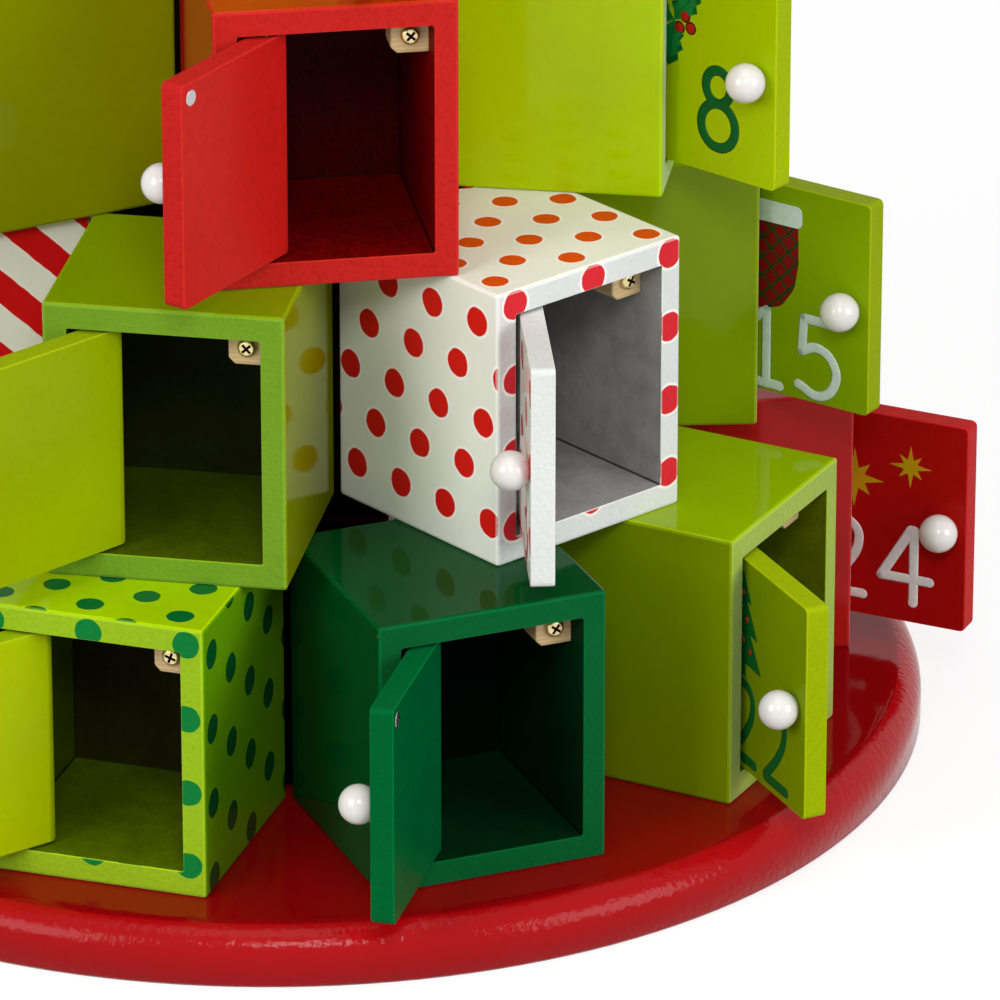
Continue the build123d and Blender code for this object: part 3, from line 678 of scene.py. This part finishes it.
def drawPicture(bm, kind, ink):
    # traditional winter signs, a few dabs each; ink maps a paint to its slot
    if kind == "holly":
        stem = (7.6, 45.2)
        for angle in (52, 168, 262):
            drawDab(bm, turned(leaf, angle, stem), index=ink["pine"])
            drawDab(bm, turned(leaf, angle, stem, 0.84), index=ink["moss"], rise=0.12)
            drawStroke(bm, turned([(1.0, 0), (9.8, 0)], angle, stem), 0.5, 0.16, index=ink["pine"])
        for spot in ((11.0, 46.8), (9.2, 43.4), (12.8, 44.0)):
            drawDot(bm, spot, 1.75, ink["shade"], 0.2)
            drawDot(bm, spot, 1.45, ink["berry"], 0.3)
    elif kind == "stocking":
        drawDab(bm, [(2.2, 55.0), (18.3, 55.0), (18.6, 44.0), (17.4, 37.0), (13.6, 31.6), (8.6, 29.9),
                     (0.6, 30.6), (-3.6, 33.2), (-3.2, 38.0), (1.6, 42.0), (2.4, 46.0)], 1.2, ink["plaid"])
        drawDab(bm, [(0.8, 53.8), (19.6, 53.8), (19.4, 59.6), (1.0, 59.6)], 1.6, ink["mint"], 0.24)
    elif kind == "tree":
        half = [(4.5, 53.6), (2.2, 53.8), (7.9, 44.8), (4.0, 45.2), (10.0, 36.2), (1.5, 36.6), (1.5, 33.0)]
        outline = [(5.4, 61.5)] + [(5.4 + x, y) for x, y in half] + [(5.4 - x, y) for x, y in half[::-1]]
        drawDab(bm, outline, 0.0, ink["pine"])
        for spot in ((5.4, 55.6), (7.6, 48.8), (3.0, 47.0), (9.4, 40.6), (1.8, 39.4), (5.6, 42.6)):
            drawDot(bm, spot, 0.8, ink["berry"], 0.35)
    elif kind == "sparkle":
        drawDab(bm, ringOf((8.4, 45.6), (8.2, 3.0, 6.0, 3.0), 16), 0.0, ink["gold"])
        drawDab(bm, ringOf((24.0, 51.2), (5.9, 2.0, 4.4, 2.0), 16), 0.0, ink["gold"])
    elif kind == "snowflake":
        middle = (8.5, 48.0)
        for angle in (0, 60, 120):
            drawStroke(bm, turned([(-10, 0), (10, 0)], angle + 30, middle), 1.2, 0.26, index=ink["mint"])
        for angle in range(0, 360, 60):
            drawStroke(bm, turned([(5.2, 0), (8.0, 2.6)], angle + 30, middle), 0.9, 0.24, index=ink["mint"])
            drawStroke(bm, turned([(5.2, 0), (8.0, -2.6)], angle + 30, middle), 0.9, 0.24, index=ink["mint"])
    elif kind == "bauble":
        drawDab(bm, ringOf((8.5, 46.0), (8.6,), 28), 0.0, ink["berry"])
        drawDab(bm, [(6.6, 54.0), (10.4, 54.0), (10.4, 56.6), (6.6, 56.6)], 0.3, ink["gold"], 0.2)
        drawStroke(bm, [(8.5, 56.6), (10.0, 58.8), (8.5, 60.4), (7.0, 58.8)], 0.7, 0.24, True, ink["gold"])
        drawStroke(bm, [(1.2, 44.4), (5.0, 46.6), (8.5, 44.6), (12.0, 46.6), (15.8, 44.4)], 1.3, 0.3,
                   index=ink["mint"])
    elif kind == "gift":
        drawDab(bm, [(0.2, 38.0), (16.8, 38.0), (16.8, 51.6), (0.2, 51.6)], 0.6, ink["mint"])
        drawStroke(bm, [(8.5, 38.4), (8.5, 51.2)], 2.2, 0.3, index=ink["berry"])
        drawStroke(bm, [(0.8, 45.0), (16.2, 45.0)], 2.2, 0.3, index=ink["berry"])
        for side in (-1, 1):
            drawStroke(bm, [(8.5, 52.2), (8.5 + side * 4.6, 57.2), (8.5 + side * 7.0, 54.6)], 1.5, 0.3, True,
                       ink["berry"])
    elif kind == "cane":
        drawStroke(bm, [(5.0, 38.0), (5.0, 52.0), (8.2, 57.4), (12.2, 55.4), (12.8, 51.0)], 3.6, 0.3,
                   index=ink["cream"])
        for spot in ((5.0, 40.2), (5.0, 44.0), (5.0, 47.8), (5.3, 52.2), (8.0, 56.6), (12.0, 55.0)):
            drawStroke(bm, turned([(-1.5, -0.9), (1.5, 0.9)], 0 if spot[1] < 54 else -50, spot), 1.3, 0.36,
                       index=ink["berry"])
    elif kind == "bell":
        drawDab(bm, [(0.2, 39.4), (16.8, 39.4), (14.4, 42.6), (13.4, 50.0), (11.2, 54.0), (8.5, 55.0),
                     (5.8, 54.0), (3.6, 50.0), (2.6, 42.6)], 0.9, ink["gold"])
        drawDot(bm, (8.5, 38.4), 2.0, ink["gold"])
        drawStroke(bm, [(3.0, 43.2), (8.5, 42.4), (14.0, 43.2)], 0.9, 0.3, index=ink["berry"])
        drawStroke(bm, [(8.5, 55.4), (10.0, 57.6), (8.5, 59.4), (7.0, 57.6)], 0.8, 0.24, True, ink["gold"])
    elif kind == "heart":
        drawDab(bm, [(8.5, 37.6), (16.4, 46.6), (17.0, 52.0), (13.4, 55.6), (8.5, 52.0), (3.6, 55.6),
                     (0.0, 52.0), (0.6, 46.6)], 1.8, ink["berry"])
    elif kind == "candle":
        drawDab(bm, [(5.4, 36.6), (11.6, 36.6), (11.6, 51.0), (5.4, 51.0)], 0.5, ink["cream"])
        drawDab(bm, [(8.5, 60.0), (10.6, 55.4), (8.5, 52.6), (6.4, 55.4)], 0.7, ink["gold"])
        drawStroke(bm, [(1.2, 36.8), (15.8, 36.8)], 1.8, 0.3, index=ink["gold"])
    else:  # a plain round patch that keeps the number clear of a printed ground
        drawDab(bm, ringOf((17.0, 22.4), (14.4,), 40), 0.0, ink["patch"])


numberInk = {"dotted": "berry", "striped": "berry", "leafGreen": "mint",
             "red": "cream", "crimson": "cream", "darkGreen": "cream"}  # pine on all others
inkNames = [*inks, "patch"]

boxTemplate, doorTemplate = openBox(), doorLeaf()
seats = {}
for joint in frame["joints"]:
    day = int(joint["child"].split("_")[1])
    pivot = Vector(joint["pos_m"])
    low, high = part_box("box_%02d" % day)
    # the pin stands in the front left corner, so the way to it from the middle tells how the box is turned
    arm = pivot.xy - (low + high).xy / 2
    turn = math.atan2(arm.y, arm.x) - math.atan2(doorShape["pivotY"] - boxShape["depth"] / 2,
                                                 doorShape["pivotX"])
    swing = -joint["range_deg"][0]
    hang = Matrix.Translation((pivot.x, pivot.y, low.z))
    leafPlace = hang @ Matrix.Rotation(turn - math.radians(swing), 4, "Z")
    seat = (hang @ Matrix.Rotation(turn, 4, "Z")
            @ Matrix.Translation((-doorShape["pivotX"] / 1000, -doorShape["pivotY"] / 1000, 0)))
    seats[day] = seat
    paint, picture = days[day]
    makePiece("carcass_%02d" % day, boxTemplate, "tower", boxCoats[paint],
              ["box_%02d" % day], seat)
    makePiece("leaf_%02d" % day, doorTemplate, joint["child"], doorCoats[paint] + [knobLacquer, nickel],
              ["door_%02d" % day], leafPlace)
    art = bmesh.new()
    art.loops.layers.uv.new("flat")
    order = {n: i for i, n in enumerate(inkNames)}
    if paint in ("red", "crimson"):
        order["berry"] = order["mint"]  # red on red would vanish
    drawPicture(art, picture, order)
    drawNumber(art, day, order[numberInk.get(paint, "pine")])
    art.normal_update()
    flat = art.loops.layers.uv["flat"]
    for face in art.faces:
        for loop in face.loops:
            loop[flat].uv = loop.vert.co.xy
    bmesh.ops.rotate(art, matrix=Matrix.Rotation(math.radians(90), 3, "X"), verts=art.verts)
    bmesh.ops.translate(art, vec=(0, -doorShape["thick"] / 2, 0), verts=art.verts)
    patch = inks["lime"] if paint == "limeDotted" else inks["cream"]
    makePiece("stencil_%02d" % day, art, joint["child"], [inks.get(n, patch) for n in inkNames],
              (), leafPlace)
    art.free()
print("boxes and doors:", len(seats))


# The turned base and cap: a flat disc with a bold round-over on the upper rim
baseShape = dict(node="base_disc", rim=8.0, foot=1.0, steps=160)
capShape = dict(node="top_cap", rim=4.0, foot=0.4, steps=96)


def turnedDisc(s):
    low, high = (c * 1000 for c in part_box(s["node"]))
    radius = (high.x - low.x) / 2
    bm = bmesh.new()
    outline = ((0, low.z), (radius - s["foot"], low.z), (radius, low.z + s["foot"]),
               (radius, high.z), (0, high.z))
    profile = [bm.verts.new((x, 0, z)) for x, z in outline]
    for a, b in zip(profile, profile[1:]):
        bm.edges.new((a, b))
    bmesh.ops.bevel(bm, geom=[profile[3]], offset=s["rim"], offset_type="OFFSET", segments=12, profile=0.5,
                    affect="VERTICES", material=-1, clamp_overlap=True)
    bmesh.ops.spin(bm, geom=bm.verts[:] + bm.edges[:], cent=(0, 0, 0), axis=(0, 0, 1), angle=math.tau,
                   steps=s["steps"], use_merge=True)
    bmesh.ops.remove_doubles(bm, verts=bm.verts, dist=0.001)
    bmesh.ops.recalc_face_normals(bm, faces=bm.faces)
    for face in bm.faces:
        face.smooth = abs(face.normal.z) < 0.999
        # the flat top takes the first material; on the base that is the darker red, painted shade
        face.material_index = 0 if face.normal.z > 0.98 else 1
    return bm


makePiece("turned_base", turnedDisc(baseShape), "tower", [baseTop, baseRim], ["base_disc"])
makePiece("turned_cap", turnedDisc(capShape), "tower", [capLacquer, capLacquer], ["top_cap"])

# Catch blocks and their screws, one set for all boxes
blockShape = dict(x=(14.5, 24.0), y=(7.8, 15.8), z=(56.0, 65.5), corner=1.6, ease=0.4)
screwShape = dict(x=19.25, z=60.75, face=7.8, head=2.5, rise=1.6, arm=1.45, slotHalf=0.34, deep=0.9,
                  crown=0.66, crownDrop=0.06, shoulder=(0.90, 0.66), brim=0.30, taper=0.62,
                  smoothFrom=0.6, bed=0.3, turnPerDay=37)


def catchBlock():
    s = blockShape
    bm = bmesh.new()
    bmesh.ops.create_cube(bm, size=1.0)
    bmesh.ops.scale(bm, vec=[b - a for a, b in (s["x"], s["y"], s["z"])], verts=bm.verts)
    bmesh.ops.translate(bm, vec=[(a + b) / 2 for a, b in (s["x"], s["y"], s["z"])], verts=bm.verts)
    nose = [e for e in bm.edges if all(v.co.z < s["z"][0] + hair and v.co.x < s["x"][0] + hair
                                       for v in e.verts)]
    ease(bm, nose, s["corner"], 1)
    ease(bm, [e for e in bm.edges if e.calc_face_angle(0) > 0.5], s["ease"], 2)
    bm.normal_update()
    mapFlat(bm)
    return bm


def crossScrew():
    # pan head from the cross slot outwards, drawn facing up and then turned to the front
    s = screwShape
    bm = bmesh.new()
    a, h = s["arm"], s["slotHalf"]
    corners = ((h, h), (h, a), (-h, a), (-h, h), (-a, h), (-a, -h),
               (-h, -h), (-h, -a), (h, -a), (h, -h), (a, -h), (a, h))
    cross = [bm.verts.new((x, y, s["rise"])) for x, y in corners]
    slotEdges = [bm.edges.new((cross[i - 1], cross[i])) for i in range(len(cross))]
    rim = bmesh.ops.create_circle(bm, segments=24, radius=s["head"] * s["crown"])["verts"]
    bmesh.ops.translate(bm, vec=(0, 0, s["rise"] - s["crownDrop"]), verts=rim)
    rimEdges = list({e for v in rim for e in v.link_edges})
    bmesh.ops.bridge_loops(bm, edges=slotEdges + rimEdges)
    for radius, z in ((s["head"] * s["shoulder"][0], s["rise"] * s["shoulder"][1]),
                      (s["head"], s["rise"] * s["brim"]), (s["head"], -s["bed"])):
        out = bmesh.ops.extrude_edge_only(bm, edges=rimEdges)["geom"]
        ring = [g for g in out if isinstance(g, bmesh.types.BMVert)]
        for v in ring:
            v.co = Vector((*(v.co.xy.normalized() * radius), z))
        rimEdges = [g for g in out if isinstance(g, bmesh.types.BMEdge)
                    and all(abs(v.co.z - z) < hair for v in g.verts)]
    floor = bm.faces.new(cross)
    sunk = bmesh.ops.extrude_discrete_faces(bm, faces=[floor])["faces"][0]
    bmesh.ops.translate(bm, vec=(0, 0, -s["deep"]), verts=sunk.verts)
    bmesh.ops.scale(bm, vec=(s["taper"], s["taper"], 1), verts=sunk.verts)
    # the sunk cross takes the near-black metal, painted shade in the recess
    addSlot(bm, sunk.verts, 1)
    bmesh.ops.recalc_face_normals(bm, faces=bm.faces)
    for face in bm.faces:
        face.smooth = face.calc_center_median().xy.length > s["head"] * s["smoothFrom"]
    bmesh.ops.rotate(bm, matrix=Matrix.Rotation(math.radians(90), 3, "X"), verts=bm.verts)
    bmesh.ops.translate(bm, vec=(s["x"], s["face"], s["z"]), verts=bm.verts)
    return bm


def joinedSet(template):
    whole = bmesh.new()
    for day, seat in seats.items():
        part = template.copy()
        if template is screwTemplate:  # each screw was driven to its own turn
            twist = Matrix.Rotation(math.radians(day * screwShape["turnPerDay"] % 90), 3, "Y")
            bmesh.ops.rotate(part, cent=(screwShape["x"], 0, screwShape["z"]), matrix=twist, verts=part.verts)
        part.transform(mm.inverted() @ seat @ mm)
        mesh = bpy.data.meshes.new("part")
        part.to_mesh(mesh)
        whole.from_mesh(mesh)
        bpy.data.meshes.remove(mesh)
        part.free()
    return whole


blockTemplate, screwTemplate = catchBlock(), crossScrew()
makePiece("beech_catch_blocks", joinedSet(blockTemplate), "tower", [beechBlock], ["catch_blocks"])
makePiece("cross_head_screws", joinedSet(screwTemplate), "tower", [brass, recessShade],
          ["catch_screws"])
print("catches:", len(seats))

# The star on its stalk
starShape = dict(points=5, radius=34.0, waist=14.5, thick=12.0, ease=1.5)


def starBlock():
    s = starShape
    middle = (0.0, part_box("star")[1].z * 1000 - s["radius"])
    bm = bmesh.new()
    corners = ringOf(middle, (s["radius"], s["waist"]), 2 * s["points"])
    rim = [bm.verts.new((x, -s["thick"] / 2, z)) for x, z in corners]
    face = bm.faces.new(rim)
    out = bmesh.ops.extrude_face_region(bm, geom=[face], use_keep_orig=True)["geom"]
    back = [g for g in out if isinstance(g, bmesh.types.BMVert)]
    bmesh.ops.translate(bm, vec=(0, s["thick"], 0), verts=back)
    bmesh.ops.recalc_face_normals(bm, faces=bm.faces)
    ease(bm, [e for e in bm.edges if abs(e.verts[0].co.y - e.verts[1].co.y) < hair], s["ease"], 3)
    return bm


makePiece("gold_star", starBlock(), "tower", [starBronze], ["star"])
for node, material in (("hinge_pins", pinSteel), ("tier_pegs", beechDowel), ("star_stalk", beechDowel)):
    for slot in frame["nodes"][node].material_slots:
        slot.material = material
print("star and small parts done")

# Studio: pale floor, a broad soft lamp on either side, weaker ones in front and above
studio = dict(world=0.40, floorSize=6.0, floorLit=0.30, floorGlow=0.75, floorBounce=0.45)


def softLight(name, place, size, power, aim=(0, 0, 0.15)):
    lamp = bpy.data.lights.new(name, "AREA")
    lamp.shape, lamp.size, lamp.energy = "SQUARE", size, power
    holder = bpy.data.objects.new(name, lamp)
    holder.location = place
    holder.rotation_euler = (Vector(aim) - Vector(place)).to_track_quat("-Z", "Y").to_euler()
    scene.collection.objects.link(holder)


softLight("left", (-1.7, -1.6, 1.2), 1.3, 29)
softLight("right", (2.0, -1.3, 0.9), 1.3, 28)
softLight("front", (0.1, -2.0, 1.6), 0.6, 17)
softLight("top", (0.0, -0.6, 2.4), 1.2, 7)


def raysThatSee(tree):
    # camera, transmission and glossy rays find the backdrop white; the others only its plain light
    path = addNode(tree, "LightPath").outputs
    seen = addNode(tree, "Math",
                   {0: path["Is Camera Ray"], 1: path["Is Transmission Ray"]}, operation="MAXIMUM")
    return addNode(tree, "Math", {0: seen, 1: path["Is Glossy Ray"]}, operation="MAXIMUM")


world = bpy.data.worlds.new("studioWalls")
scene.world = world
world.use_nodes = True
walls = world.node_tree
power = addNode(walls, "MapRange", {0: raysThatSee(walls), 3: studio["world"], 4: 1.0})
feed(walls.nodes["Background"], {"Color": (1, 1, 1, 1), "Strength": power})

floorMesh = bmesh.new()
bmesh.ops.create_grid(floorMesh, x_segments=1, y_segments=1, size=studio["floorSize"])
mesh = bpy.data.meshes.new("studio_floor")
floorMesh.to_mesh(mesh)
floor = bpy.data.objects.new("studio_floor", mesh)
scene.collection.objects.link(floor)
paper = bpy.data.materials.new("paleBackdropPaper")
paper.use_nodes = True
tree = paper.node_tree
shown = raysThatSee(tree)
lit = addNode(tree, "BsdfDiffuse", {"Color": [studio["floorLit"]] * 3 + [1]})
glow = addNode(tree, "Emission", {"Strength": studio["floorGlow"]})
pale = addNode(tree, "AddShader", {0: lit, 1: glow})
bounce = addNode(tree, "BsdfDiffuse", {"Color": [studio["floorBounce"]] * 3 + [1]})
either = addNode(tree, "MixShader", {0: shown, 1: bounce, 2: pale})
feed(tree.nodes["Material Output"], {"Surface": either})
mesh.materials.append(paper)

# Camera: the photograph's own view, from the front and above
view = dict(place=(0.0, -2.11846, 0.98697), down=23.70, right=1.5275, lens=322.58, sensor=36.0, far=50.0)
camera = bpy.data.cameras.new("camera")
camera.lens, camera.sensor_width, camera.clip_end = view["lens"], view["sensor"], view["far"]
eye = bpy.data.objects.new("camera", camera)
eye.location = view["place"]
eye.rotation_euler = (math.radians(90 - view["down"]), 0, math.radians(-view["right"]))
scene.collection.objects.link(eye)
scene.camera = eye
scene.view_settings.view_transform = "Standard"

print("scene ready")
